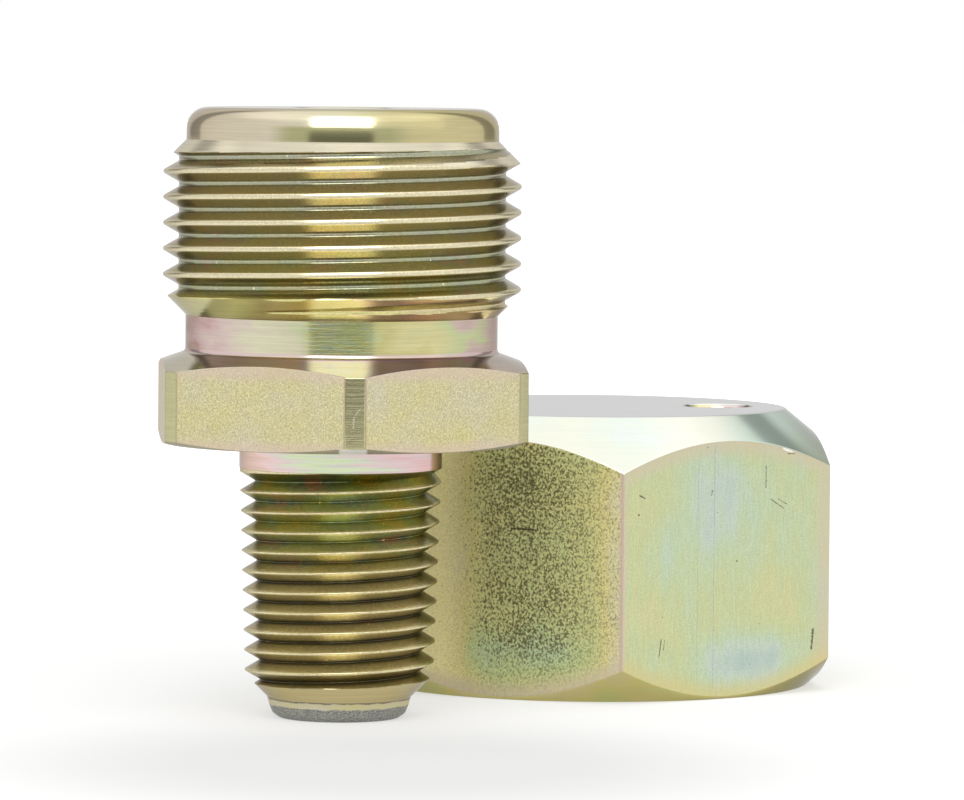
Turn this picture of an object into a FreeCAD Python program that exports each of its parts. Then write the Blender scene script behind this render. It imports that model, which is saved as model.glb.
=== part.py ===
import FreeCAD, Part
import math
import os
import Sketcher

# Vent cap in two turned steel pieces: a pipe adapter with a taper pipe thread below its hexagon
# and a straight thread above it, and the hexagon cap nut that screws over the upper thread.
# The adapter stands on its small end at the origin. The cap nut stands beside it, open end down.
# Both outside threads are drawn plain at their crests, and the inside one at its minor size.

document = FreeCAD.newDocument("VentCap")
sheet = document.addObject("Spreadsheet::Sheet", "Dims")

# Driving dimensions in millimetres and degrees. Heights count up from the adapter's small end,
# and from the floor on the cap nut.
DIMENSIONS = {
    # pipe end: bevelled lip, 45 degree lead-in, taper thread of 18 to the inch, plain collar
    "lip_rad": 5.1,
    "lip_height": 1.45,
    "lip_bevel": 0.56,
    "taper_foot_rad": 6.69,
    "taper_top": 17.7,
    "taper_half_angle": 1.79,
    "collar_rad": 7.18,
    # one inch hexagon, its corners turned down and both faces coned
    "hex_flats": 25.4,
    "hex_corner_rad": 14.29,
    "hex_turn": 5.2,
    "hex_foot": 19.45,
    "hex_foot_rad": 12.6,
    "hex_corner_low": 19.92,
    "hex_corner_high": 24.79,
    "hex_crown": 25.95,
    # cap end: neck, straight thread of 14 to the inch between two 45 degree cones, rounded nose
    "neck_rad": 11.05,
    "neck_top": 28.5,
    "main_rad": 12.67,
    "nose_base": 40.85,
    "nose_round": 1.5,
    "adapter_height": 43.13,
    "bore_rad": 3.2,
    "bore_chamfer": 0.5,
    # cap nut: where it stands, hexagon, coned top and rim, socket with thread relief, vent
    "cap_across": 18.2,
    "cap_behind": 27.33,
    "cap_turn": 6.26,
    "cap_flats": 33.34,
    "cap_height": 20.66,
    "crown_rad": 14.55,
    "crown_angle": 39.2,
    "rim_rad": 16.45,
    "rim_angle": 42.0,
    "socket_rad": 11.7,
    "socket_depth": 17.6,
    "relief_rad": 12.9,
    "relief_length": 2.6,
    "mouth_rad": 13.1,
    "vent_rad": 2.45,
    "vent_offset": 9.6,
    # shared by both pieces: how far a cut runs past the metal, and the bar left outside a hexagon
    "overrun": 0.3,
    "stock_margin": 1.0,
}

# What follows from the driving dimensions, as formulas in cells of their own
DERIVED = {
    "lead_in_top": "=lip_height + taper_foot_rad - lip_rad",
    "taper_top_rad": "=taper_foot_rad + (taper_top - lead_in_top) * tan(taper_half_angle * 1deg)",
    "thread_foot": "=neck_top + main_rad - neck_rad",
    "thread_top": "=nose_base - main_rad + neck_rad",
    "hex_reach": "=hex_flats / sqrt(3)",
    "cap_reach": "=cap_flats / sqrt(3)",
    "stock_rad": "=cap_reach + stock_margin",
    "crown_foot": "=cap_height - (stock_rad - crown_rad) * tan(crown_angle * 1deg)",
    "rim_top": "=(stock_rad - rim_rad) * tan(rim_angle * 1deg)",
    "mouth_top": "=mouth_rad - socket_rad",
    "relief_foot": "=socket_depth - relief_length",
    "relief_shoulder": "=relief_foot + relief_rad - socket_rad",
    "vent_across": "=vent_offset * cos(cap_turn * 1deg)",
    "vent_behind": "=vent_offset * sin(cap_turn * 1deg)",
    "vent_cut": "=cap_height - socket_depth + overrun",
}


def fill_sheet():
    """Give every dimension a cell of its own with its name as the alias."""
    for row, (name, value) in enumerate({**DIMENSIONS, **DERIVED}.items(), start=1):
        sheet.set(f"A{row}", name)
        sheet.set(f"B{row}", str(value))
        sheet.setAlias(f"B{row}", name)
    document.recompute()


def in_sheet(formula):
    """The formula with each dimension's name pointed at its cell."""
    words = formula.split()
    return " ".join(f"Dims.{word}" if word in DIMENSIONS or word in DERIVED else word for word in words)


def new_body(label):
    """An empty body that carries its node's name."""
    body = document.addObject("PartDesign::Body", label)
    body.Label = label
    return body


def new_sketch(body, name, plane):
    """An empty sketch on one of the body's own origin planes."""
    sketch = body.newObject("Sketcher::SketchObject", name)
    support = next(item for item in body.Origin.OriginFeatures if item.Role == plane)
    sketch.AttachmentSupport = [(support, "")]
    sketch.MapMode = "FlatFace"
    return sketch


def hold(sketch, kind, formula, *where):
    """Add one dimension to a sketch, with its value taken from the sheet."""
    bound = in_sheet(formula)
    index = sketch.addConstraint(Sketcher.Constraint(kind, *where, float(sketch.evalExpression(bound))))
    sketch.setExpression(f"Constraints[{index}]", bound)


def outline(body, name, plane, corners):
    """A closed outline. Each corner is two formulas: across and up from the body's origin."""
    sketch = new_sketch(body, name, plane)
    points = []
    for across, up in corners:
        place = [float(sketch.evalExpression(in_sheet(formula))) for formula in (across, up)]
        points.append(FreeCAD.Vector(*place, 0))
    for index, point in enumerate(points):
        sketch.addGeometry(Part.LineSegment(point, points[(index + 1) % len(points)]))
    for index, (across, up) in enumerate(corners):
        sketch.addConstraint(Sketcher.Constraint("Coincident", index, 2, (index + 1) % len(corners), 1))
        for kind, formula, axis in (("DistanceX", across, -2), ("DistanceY", up, -1)):
            if formula == "0":
                sketch.addConstraint(Sketcher.Constraint("PointOnObject", index, 1, axis))
            else:
                hold(sketch, kind, formula, -1, 1, index, 1)
    return sketch


def turned(body, kind, name, corners):
    """Revolve an outline of radii and heights once round the body's axis, adding or cutting."""
    feature = body.newObject(kind, name)
    feature.Profile = outline(body, f"{name}_outline", "XZ_Plane", corners)
    feature.ReferenceAxis = (feature.Profile[0], ["V_Axis"])
    feature.Angle = 360
    return feature


def add_circle(sketch, radius, across="0", behind="0"):
    """A circle in a sketch, its radius and centre held by the sheet."""
    index = sketch.addGeometry(Part.Circle())
    if across == "0":
        sketch.addConstraint(Sketcher.Constraint("Coincident", index, 3, -1, 1))
    else:
        hold(sketch, "DistanceX", across, -1, 1, index, 3)
        hold(sketch, "DistanceY", behind, -1, 1, index, 3)
    hold(sketch, "Radius", radius, index)
    return index


def add_hexagon(sketch, reach, turn):
    """A hexagon round the origin: its corners on a circle, one of them at 30 degrees plus the turn."""
    ring = add_circle(sketch, reach)
    sketch.setConstruction(ring, True)
    rad = float(sketch.evalExpression(in_sheet(reach)))
    first = math.radians(30 + float(sketch.evalExpression(in_sheet(turn))))
    corners = []
    for step in range(7):
        angle = first + step * math.radians(60)
        corners.append(FreeCAD.Vector(rad * math.cos(angle), rad * math.sin(angle), 0))
    sides = [sketch.addGeometry(Part.LineSegment(*corners[step : step + 2])) for step in range(6)]
    for side, following in zip(sides, sides[1:] + sides[:1]):
        sketch.addConstraint(Sketcher.Constraint("Coincident", side, 2, following, 1))
        sketch.addConstraint(Sketcher.Constraint("PointOnObject", side, 1, ring))
    for side, following in zip(sides, sides[1:-1]):
        sketch.addConstraint(Sketcher.Constraint("Equal", side, following))
    spoke = sketch.addGeometry(Part.LineSegment(FreeCAD.Vector(0, 0, 0), corners[0]))
    sketch.setConstruction(spoke, True)
    sketch.addConstraint(Sketcher.Constraint("Coincident", spoke, 1, -1, 1))
    sketch.addConstraint(Sketcher.Constraint("Coincident", spoke, 2, sides[0], 1))
    hold(sketch, "Angle", f"( 30 + {turn} ) * 1deg", -1, 1, spoke, 1)


def cut_through(body, name, sketch):
    """Cut a floor sketch's shape up through the whole piece."""
    pocket = body.newObject("PartDesign::Pocket", name)
    pocket.Profile = sketch
    pocket.Type = "ThroughAll"
    pocket.Reversed = True
    return pocket


def mill_hexagon(body, reach, turn):
    """Take everything outside the hexagon off the turned blank."""
    sketch = new_sketch(body, "hexagon_outline", "XY_Plane")
    add_circle(sketch, f"{reach} + 2 * stock_margin")
    add_hexagon(sketch, reach, turn)
    return cut_through(body, "hexagon", sketch)


def dress_edges(body, kind, name, places, size):
    """Fillet or chamfer the circular edges at the given radii and heights."""
    document.recompute()
    wanted = [tuple(float(body.evalExpression(in_sheet(item))) for item in place) for place in places]
    edges = []
    for index, edge in enumerate(body.Tip.Shape.Edges, start=1):
        if edge.Curve.TypeId != "Part::GeomCircle":
            continue
        here = (edge.Curve.Radius, edge.Curve.Center.z)
        if any(math.dist(here, place) < 1e-4 for place in wanted):
            edges.append(f"Edge{index}")
    feature = body.newObject(f"PartDesign::{kind}", name)
    feature.Base = (body.getObject(feature.BaseFeature.Name), edges)
    feature.setExpression("Radius" if kind == "Fillet" else "Size", in_sheet(size))
    return feature


def build_adapter():
    """The turned adapter: blank, hexagon, through bore, then the rounded and bevelled edges."""
    body = new_body("adapter")
    turned(body, "PartDesign::Revolution", "blank", [
        ("0", "0"),
        ("lip_rad", "0"),
        ("lip_rad", "lip_height"),
        ("taper_foot_rad", "lead_in_top"),
        ("taper_top_rad", "taper_top"),
        ("collar_rad", "taper_top"),
        ("collar_rad", "hex_foot"),
        ("hex_foot_rad", "hex_foot"),
        ("hex_corner_rad", "hex_corner_low"),
        ("hex_corner_rad", "hex_corner_high"),
        ("neck_rad", "hex_crown"),
        ("neck_rad", "neck_top"),
        ("main_rad", "thread_foot"),
        ("main_rad", "thread_top"),
        ("neck_rad", "nose_base"),
        ("neck_rad", "adapter_height"),
        ("0", "adapter_height"),
    ])
    mill_hexagon(body, "hex_reach", "hex_turn")
    bore = new_sketch(body, "bore_outline", "XY_Plane")
    add_circle(bore, "bore_rad")
    cut_through(body, "bore", bore)
    dress_edges(body, "Fillet", "nose_rounding", [("neck_rad", "adapter_height")], "nose_round")
    dress_edges(body, "Chamfer", "lip_edge", [("lip_rad", "0")], "lip_bevel")
    mouths = [("bore_rad", "0"), ("bore_rad", "adapter_height")]
    dress_edges(body, "Chamfer", "bore_mouths", mouths, "bore_chamfer")
    return body


def build_cap_nut():
    """The cap nut: coned hexagon, blind socket at the thread's minor size, vent beside the axis."""
    body = new_body("cap_nut")
    body.setExpression("Placement.Base.x", "Dims.cap_across")
    body.setExpression("Placement.Base.y", "Dims.cap_behind")
    turned(body, "PartDesign::Revolution", "blank", [
        ("0", "0"),
        ("rim_rad", "0"),
        ("stock_rad", "rim_top"),
        ("stock_rad", "crown_foot"),
        ("crown_rad", "cap_height"),
        ("0", "cap_height"),
    ])
    mill_hexagon(body, "cap_reach", "cap_turn")
    turned(body, "PartDesign::Groove", "socket", [
        ("0", "0"),
        ("mouth_rad", "0"),
        ("socket_rad", "mouth_top"),
        ("socket_rad", "relief_foot"),
        ("relief_rad", "relief_shoulder"),
        ("relief_rad", "socket_depth"),
        ("0", "socket_depth"),
    ])
    drilling = new_sketch(body, "vent_outline", "XY_Plane")
    drilling.setExpression("AttachmentOffset.Base.z", "Dims.cap_height")
    add_circle(drilling, "vent_rad", "vent_across", "vent_behind")
    vent = body.newObject("PartDesign::Pocket", "vent")
    vent.Profile = drilling
    vent.setExpression("Length", "Dims.vent_cut")
    return body


def check(bodies):
    """Stop if a step failed, cut nothing or left a bad solid."""
    document.recompute()
    for item in document.Objects:
        if "Invalid" in item.State or "Error" in item.State:
            raise RuntimeError(f"{item.Name} failed: {item.State}")
    for body in bodies:
        if body.Shape.isNull() or not body.Shape.isValid():
            raise RuntimeError(f"{body.Label} has no valid shape")
        for step in body.Group:
            cuts = step.TypeId in ("PartDesign::Pocket", "PartDesign::Groove")
            if cuts and step.Shape.Volume >= step.BaseFeature.Shape.Volume:
                raise RuntimeError(f"{step.Name} took nothing off {body.Label}")


fill_sheet()
pieces = [build_adapter(), build_cap_nut()]
check(pieces)
os.makedirs("parts", exist_ok=True)
for piece in pieces:
    piece.Shape.exportStep(f"parts/{piece.Label}.step")
    box = piece.Shape.BoundBox
    print(f"{piece.Label}: {piece.Shape.Volume:.0f} cubic mm, z {box.ZMin:.2f} to {box.ZMax:.2f}")
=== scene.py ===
import math
import bmesh
import bpy
from mathutils import Matrix, Vector


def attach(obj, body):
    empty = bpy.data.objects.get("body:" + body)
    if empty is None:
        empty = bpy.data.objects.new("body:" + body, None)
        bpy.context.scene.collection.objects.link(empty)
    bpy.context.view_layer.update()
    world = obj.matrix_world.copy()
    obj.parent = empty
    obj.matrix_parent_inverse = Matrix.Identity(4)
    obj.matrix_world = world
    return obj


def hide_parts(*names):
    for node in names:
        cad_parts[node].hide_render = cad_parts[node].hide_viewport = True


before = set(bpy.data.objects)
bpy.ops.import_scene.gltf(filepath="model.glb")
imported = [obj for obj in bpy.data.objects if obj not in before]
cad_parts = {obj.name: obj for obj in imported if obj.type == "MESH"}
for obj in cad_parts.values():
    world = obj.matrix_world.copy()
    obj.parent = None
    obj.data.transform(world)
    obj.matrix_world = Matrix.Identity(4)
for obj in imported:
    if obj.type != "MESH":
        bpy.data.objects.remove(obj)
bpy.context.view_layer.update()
mm = 0.001

# The photograph's view: a long lens in front of the pair, a little above the adapter's top,
# looking down by three degrees and leaning by half a degree.
photo_width = 964
focal_pixels = 6090.3
camera_place = Vector((9.97, -430.28, 47.09)) * mm
camera_pitch = math.radians(3.263)
camera_lean = math.radians(0.496)
lens = bpy.data.cameras.new("camera")
lens.sensor_fit = "HORIZONTAL"
lens.sensor_width = 36
lens.lens = focal_pixels / photo_width * lens.sensor_width
lens.clip_start = 10 * mm
lens.clip_end = 20
camera = bpy.data.objects.new("camera", lens)
aim = Matrix.Rotation(math.radians(90) - camera_pitch, 4, "X") @ Matrix.Rotation(camera_lean, 4, "Z")
camera.matrix_world = Matrix.Translation(camera_place) @ aim
bpy.context.scene.collection.objects.link(camera)
bpy.context.scene.camera = camera
bpy.context.scene.view_settings.view_transform = "Standard"

# The studio: a white paper sweep and a tall soft light in front, one more from the upper right.
# Metal sees the white sweep behind, bright sides, and darker gaps between the lights.
sweep_tilt = math.radians(12)
sides_tilt = (0.978, 0.044)
gap_light = 0.42
gap_closing = 0.5
low_front_dimming = 0.7
diffuse_level = 0.75
pair_middle = Vector((8, 10, 22)) * mm
floor_reach = 2
floor_back = 1.7
shade_middle = Vector((4, -30, 0)) * mm


def add_node(tree, kind, inputs=None, **settings):
    """A node with its settings and inputs: a value is set on its socket, and a socket is linked."""
    made = tree.nodes.new(kind)
    for name, value in settings.items():
        setattr(made, name, value)
    for name, value in (inputs or {}).items():
        if isinstance(value, bpy.types.NodeSocket):
            tree.links.new(value, made.inputs[name])
        else:
            made.inputs[name].default_value = value
    return made


def calculate(tree, operation, *values, clamp=False):
    """A Math node's result."""
    made = add_node(tree, "ShaderNodeMath", dict(enumerate(values)), operation=operation, use_clamp=clamp)
    return made.outputs[0]


def product(tree, first, second):
    """Two values multiplied."""
    return calculate(tree, "MULTIPLY", first, second)


def vector_math(tree, operation, *vectors, result="Vector"):
    """A Vector Math node's result: a vector, or a value for a length, a distance or a dot product."""
    made = add_node(tree, "ShaderNodeVectorMath", dict(enumerate(vectors)), operation=operation)
    return made.outputs[result]


def axes_of(tree, vector):
    """A vector's X, Y and Z."""
    return add_node(tree, "ShaderNodeSeparateXYZ", {"Vector": vector}).outputs


def ramp(tree, value, start, end, low=0.0, high=1.0, kind="SMOOTHSTEP"):
    """A rise from low to high as the value goes from start to end, smooth unless kind is LINEAR."""
    limits = {"Value": value, "From Min": start, "From Max": end, "To Min": low, "To Max": high}
    return add_node(tree, "ShaderNodeMapRange", limits, interpolation_type=kind).outputs["Result"]


world = bpy.data.worlds.new("studio")
bpy.context.scene.world = world
world.use_nodes = True
sky = world.node_tree
sky.nodes.clear()
sky_axes = axes_of(sky, add_node(sky, "ShaderNodeTexCoord").outputs["Generated"])


def back_and_up(back, up):
    """How far the sky is towards the back and the top, each with its own share."""
    return calculate(sky, "ADD", product(sky, sky_axes["Y"], back), product(sky, sky_axes["Z"], up))


sweep = ramp(sky, back_and_up(math.cos(sweep_tilt), math.sin(sweep_tilt)), 0.78, 0.90)
sides = ramp(sky, back_and_up(*sides_tilt), 0.66, 0.59)
low_front = product(sky, ramp(sky, sky_axes["Y"], -0.90, -0.93), ramp(sky, sky_axes["Z"], 0.12, 0.06))
sky_aside = calculate(sky, "ABSOLUTE", sky_axes["X"])
gap_middle = product(sky, ramp(sky, sky_aside, 0.35, 0.15), ramp(sky, sky_axes["Z"], 0.3, 0.7))
gap = calculate(sky, "ADD", gap_light, product(sky, gap_middle, gap_closing))
overhead = ramp(sky, sky_axes["Z"], 0.6, 0.85, 0.92, 1.25)
lit = calculate(sky, "MAXIMUM", sweep, product(sky, sides, overhead))
lit = calculate(sky, "MAXIMUM", lit, gap)
dimmed = calculate(sky, "SUBTRACT", 1.0, product(sky, low_front, low_front_dimming))
path = add_node(sky, "ShaderNodeLightPath").outputs
seen = add_node(sky, "ShaderNodeMix", {
    "Factor": path["Is Glossy Ray"], "A": diffuse_level, "B": product(sky, lit, dimmed)})
white = calculate(sky, "MAXIMUM", path["Is Camera Ray"], path["Is Transmission Ray"])
level = add_node(sky, "ShaderNodeMix", {"Factor": white, "A": seen.outputs["Result"], "B": 1.0})
background = add_node(sky, "ShaderNodeBackground", {
    "Color": (1, 1, 1, 1), "Strength": level.outputs["Result"]})
add_node(sky, "ShaderNodeOutputWorld", {"Surface": background.outputs["Background"]})


def soft_light(name, azimuth, elevation, distance, width, height, strength, lean):
    """A flat soft light over the pair, leaning forward. Azimuth 0 is in front, 90 to the right."""
    lamp = bpy.data.lights.new(name, "AREA")
    lamp.shape = "RECTANGLE"
    lamp.size = width
    lamp.size_y = height
    lamp.energy = strength * math.pi * width * height
    holder = bpy.data.objects.new(name, lamp)
    turn, rise = math.radians(azimuth), math.radians(elevation)
    way = Vector((math.sin(turn) * math.cos(rise), -math.cos(turn) * math.cos(rise), math.sin(rise)))
    holder.location = pair_middle + way * distance
    lean = math.radians(lean)
    face = Vector((math.sin(turn) * math.cos(lean), -math.cos(turn) * math.cos(lean), math.sin(lean)))
    holder.rotation_euler = face.to_track_quat("Z", "Y").to_euler()
    bpy.context.scene.collection.objects.link(holder)


soft_light("front_light", azimuth=0, elevation=60, distance=1.05,
           width=0.66, height=1.35, strength=2.6, lean=27)
soft_light("right_light", azimuth=48, elevation=50, distance=1.1,
           width=1.6, height=1.6, strength=0.14, lean=50)

floor_shape = bmesh.new()
bmesh.ops.create_grid(floor_shape, x_segments=1, y_segments=1, size=floor_reach)
bmesh.ops.translate(floor_shape, verts=floor_shape.verts, vec=(0, floor_back, 0))
floor_mesh = bpy.data.meshes.new("floor")
floor_shape.to_mesh(floor_mesh)
floor_shape.free()
floor = bpy.data.objects.new("floor", floor_mesh)
bpy.context.scene.collection.objects.link(floor)

# The paper is grey to the light, so that it keeps the pair's shadow, and glows for the camera
# and for the metal. The glow is weaker below the pair, which paints a grey shadow round it.
paper = bpy.data.materials.new("white_paper")
paper.use_nodes = True
tree = paper.node_tree
tree.nodes.clear()
place = add_node(tree, "ShaderNodeTexCoord").outputs["Object"]
near = vector_math(tree, "DISTANCE", place, shade_middle, result="Value")
glow = ramp(tree, near, 0.010, 0.036, 0.36, 0.56)
far_glow = ramp(tree, near, 0.05, 0.5, 0.0, 0.5)
path = add_node(tree, "ShaderNodeLightPath").outputs
seen = calculate(tree, "MAXIMUM", path["Is Camera Ray"], path["Is Transmission Ray"])
glow = calculate(tree, "ADD", glow, product(tree, far_glow, seen))
seen = calculate(tree, "MAXIMUM", seen, path["Is Glossy Ray"])
matt = add_node(tree, "ShaderNodeBsdfDiffuse", {"Color": (0.42, 0.42, 0.415, 1)})
shine = add_node(tree, "ShaderNodeEmission", {"Strength": product(tree, glow, seen)})
both = add_node(tree, "ShaderNodeAddShader", {0: matt.outputs["BSDF"], 1: shine.outputs["Emission"]})
add_node(tree, "ShaderNodeOutputMaterial", {"Surface": both.outputs["Shader"]})
floor.data.materials.append(paper)

# The adapter: one piece of hexagon steel bar, turned, milled, threaded at both ends and bored
# through, then zinc plated and dipped in yellow chromate. It stands on its small end.
columns = 216
sectors = 6
weld_width = 0.0004 * mm
longest_row = 0.4 * mm
fine_rows = 8
end_turns = 3
spin_rad = 10 * mm
closing_share = 0.9999
many_corners = 12
turned_slot, thread_slot, pipe_slot, bare_slot, side_slot = range(5)


def rounded(corners, step=12):
    """An outline with rounded corners. Each corner is a radius, a height and its rounding."""
    points = []
    for index, (radius, height, rounding) in enumerate(corners):
        here = Vector((radius, height))
        if not rounding or index in (0, len(corners) - 1):
            points.append(here)
            continue
        back = (Vector(corners[index - 1][:2]) - here).normalized()
        ahead = (Vector(corners[index + 1][:2]) - here).normalized()
        turn = math.pi - back.angle(ahead)
        middle = here + (back + ahead).normalized() * rounding / math.cos(turn / 2)
        first = here + back * rounding * math.tan(turn / 2) - middle
        count = max(2, round(math.degrees(turn) / step))
        way = 1 if back.cross(ahead) > 0 else -1
        for part in range(count + 1):
            points.append(middle + Matrix.Rotation(-way * turn * part / count, 2) @ first)
    return points


def spin_outline(outline, lift=0.0):
    """Spin an outline of radii and heights once round Z: a sixth of a turn, then its copies."""
    shape = bmesh.new()
    rim = [shape.verts.new((radius, 0, height)) for radius, height in outline]
    edges = [shape.edges.new(pair) for pair in zip(rim, rim[1:])]
    about = {"cent": (0, 0, 0), "axis": (0, 0, 1), "use_merge": False}
    bmesh.ops.spin(shape, geom=rim + edges, dvec=(0, 0, lift / columns), angle=math.tau / sectors,
                   steps=columns // sectors, **about)
    sector = shape.verts[:] + shape.edges[:] + shape.faces[:]
    bmesh.ops.spin(shape, geom=sector, dvec=(0, 0, lift / sectors), angle=math.tau * (sectors - 1) / sectors,
                   steps=sectors - 1, use_duplicate=True, **about)
    return shape


def weld_parts(parts):
    """Join lengths that were spun apart into one closed shape."""
    whole = bmesh.new()
    for part in parts:
        loose = bpy.data.meshes.new("loose")
        part.to_mesh(loose)
        part.free()
        whole.from_mesh(loose)
        bpy.data.meshes.remove(loose)
    bmesh.ops.remove_doubles(whole, verts=whole.verts, dist=weld_width)
    seams = [edge for edge in whole.edges if edge.is_boundary and edge.calc_length() > longest_row
             and all(abs(vert.co.y) < weld_width for vert in edge.verts)]
    bmesh.ops.subdivide_edges(whole, edges=seams, cuts=fine_rows - 1)
    bmesh.ops.remove_doubles(whole, verts=whole.verts, dist=weld_width)
    bmesh.ops.dissolve_degenerate(whole, dist=weld_width, edges=whole.edges)
    return whole


def groove_rows(pitch, depth, root_flat, crest_flat, root_round, crest_round):
    """Half of a 60 degree groove from its middle out: distance along the thread, and depth."""
    return rounded([
        (0, depth, 0),
        (root_flat / 2, depth, root_round),
        ((pitch - crest_flat) / 2, 0, crest_round),
        (pitch / 2, 0, 0),
    ], step=30)


def add_rows(section):
    """The same section with its flanks cut in short rows, for the turns that run out on a cone."""
    points = [section[0]]
    for start, end in zip(section, section[1:]):
        parts = fine_rows if math.dist(start, end) > longest_row else 1
        points += [Vector(start).lerp(Vector(end), part / parts) for part in range(1, parts + 1)]
    return points


def on_cone(vert, radius, height, way):
    """True on the 45 degree cone that starts at a radius and a height."""
    return abs(math.hypot(vert.co.x, vert.co.y) - radius - way * (vert.co.z - height)) < weld_width


def cut_thread(pitch, low, high, middle, half, surface, fade=None):
    """A thread between two heights. Middle is the height where a groove's middle meets +X. The
    grooves are spun round one radius, and the surface then puts every point at its own."""
    section = [(-along, depth) for along, depth in reversed(half[1:])] + [tuple(point) for point in half]
    first = math.floor((low - pitch - middle) / pitch)
    last = math.ceil((high - middle) / pitch)
    outline = []
    for turn in range(first, last + 1):
        at_end = turn < first + end_turns or turn > last - end_turns
        rows = add_rows(section) if at_end else section
        outline += [(spin_rad - depth, middle + turn * pitch + along) for along, depth in rows[:-1]]
    shape = spin_outline(outline, pitch)
    for vert in shape.verts:
        angle = math.atan2(vert.co.y, vert.co.x) % math.tau
        depth = spin_rad - math.hypot(vert.co.x, vert.co.y)
        if fade:
            share = angle / math.tau
            # The column that closes the ring counts as the first one.
            if share > closing_share:
                share = 0
            turn = round((vert.co.z - middle) / pitch - share)
            depth *= fade(turn + share)
        height = min(max(vert.co.z, low), high)
        radius = surface(height, depth)
        vert.co = (radius * math.cos(angle), radius * math.sin(angle), height)
    return shape


# Heights count up from the floor. The pipe thread is placed by the height of a crest in front, a
# quarter turn before +X, and the main thread by the height of a groove's middle at +X.
lip_rad = 5.1 * mm
lip_height = 1.45 * mm
taper_foot_rad = 6.69 * mm
taper_foot = lip_height + taper_foot_rad - lip_rad
taper_top = 17.7 * mm
taper_slope = math.tan(math.radians(1.79))
taper_pitch = 1.4111 * mm
taper_crest = 16.373 * mm
taper_quarter = 0.353 * mm
taper_last = 11.25
taper_fading = 0.45
collar_rad = 7.18 * mm
hex_flats = 25.4 * mm
hex_corner_rad = 14.29 * mm
hex_turn = 5.2
hex_foot = 19.45 * mm
hex_foot_rad = 12.6 * mm
hex_corner_low = 19.92 * mm
hex_corner_high = 24.79 * mm
hex_crown = 25.95 * mm
neck_rad = 11.05 * mm
neck_top = 28.5 * mm
main_rad = 12.67 * mm
main_pitch = 1.8143 * mm
main_groove = 38.576 * mm
nose_base = 40.85 * mm
nose_round = 1.5 * mm
adapter_height = 43.13 * mm
bore_rad = 3.2 * mm
bore_mouth = 0.5 * mm

lip_outline = rounded([
    (lip_rad, lip_height, 0),
    (lip_rad - 0.13 * mm, 0.95 * mm, 0.3 * mm),
    (lip_rad - 0.38 * mm, 0.32 * mm, 0.35 * mm),
    (lip_rad - 0.85 * mm, 0, 0.2 * mm),
    (bore_rad + bore_mouth, 0, 0.06 * mm),
    (bore_rad, bore_mouth, 0),
])
nose_outline = rounded([
    (bore_rad, bore_mouth, 0),
    (bore_rad, adapter_height - bore_mouth, 0.06 * mm),
    (bore_rad + bore_mouth, adapter_height, 0.06 * mm),
    (neck_rad, adapter_height, nose_round),
    (neck_rad, nose_base, 0),
])
middle_outline = rounded([
    (neck_rad, neck_top, 0),
    (neck_rad, hex_crown, 0.35 * mm),
    (hex_corner_rad, hex_corner_high, 0.08 * mm),
    (hex_corner_rad, hex_corner_low, 0.08 * mm),
    (hex_foot_rad, hex_foot, 0.05 * mm),
    (collar_rad, hex_foot, 0.15 * mm),
    (collar_rad, taper_top, 0.06 * mm),
    (taper_foot_rad + (taper_top - taper_foot) * taper_slope, taper_top, 0),
])


def main_surface(height, depth):
    """The straight thread between its two 45 degree cones."""
    return min(main_rad - depth, neck_rad + height - neck_top, neck_rad + nose_base - height)


main_half = groove_rows(main_pitch, depth=1.11 * mm, root_flat=0.3 * mm, crest_flat=0.25 * mm,
                        root_round=0.15 * mm, crest_round=0.2 * mm)
main_middle = main_groove - 5 * main_pitch
main_thread = cut_thread(main_pitch, neck_top, nose_base, main_middle, main_half, main_surface)
for face in main_thread.faces:
    low_cone = all(on_cone(vert, neck_rad, neck_top, 1) for vert in face.verts)
    high_cone = all(on_cone(vert, neck_rad, nose_base, -1) for vert in face.verts)
    face.material_index = turned_slot if low_cone or high_cone else thread_slot


def taper_surface(height, depth):
    """The taper thread above its 45 degree lead-in, its last groove closed by a cone at the top."""
    crest = taper_foot_rad + (height - taper_foot) * taper_slope
    depth = min(depth, (taper_top - height) * math.tan(math.radians(60)))
    return min(crest - depth, lip_rad + height - lip_height)


def taper_fade(turn):
    """The cutter leaves over the last turn below the collar."""
    return min(max((taper_last - turn) / taper_fading, 0.0), 1.0)


taper_half = groove_rows(taper_pitch, depth=1.05 * mm, root_flat=0.06 * mm, crest_flat=0.1 * mm,
                         root_round=0.05 * mm, crest_round=0.05 * mm)
taper_middle = taper_crest + taper_quarter + taper_pitch / 2 - 11 * taper_pitch
taper_thread = cut_thread(
    taper_pitch, lip_height, taper_top, taper_middle, taper_half, taper_surface, taper_fade)
for face in taper_thread.faces:
    lead_in = all(on_cone(vert, lip_rad, lip_height, 1) for vert in face.verts)
    face.material_index = turned_slot if lead_in else pipe_slot
lip_ring = spin_outline(lip_outline)
for face in lip_ring.faces:
    face.material_index = bare_slot
adapter_shape = weld_parts([
    lip_ring, spin_outline(nose_outline), spin_outline(middle_outline), main_thread, taper_thread])


def mill_hexagon(shape, flats, turn, first_slot, slots):
    """Cut the six sides and close each with one flat face. Its slots take turns round the piece."""
    for side in range(6):
        angle = math.radians(turn + side * 60)
        out = Vector((math.cos(angle), math.sin(angle), 0))
        everything = shape.verts[:] + shape.edges[:] + shape.faces[:]
        bmesh.ops.bisect_plane(shape, geom=everything, dist=0.001 * mm, plane_co=out * flats / 2,
                               plane_no=out, clear_outer=True)
        open_rim = [edge for edge in shape.edges if edge.is_boundary]
        flat = bmesh.ops.holes_fill(shape, edges=open_rim, sides=0)
        for face in flat["faces"]:
            face.material_index = first_slot + side % slots


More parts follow.
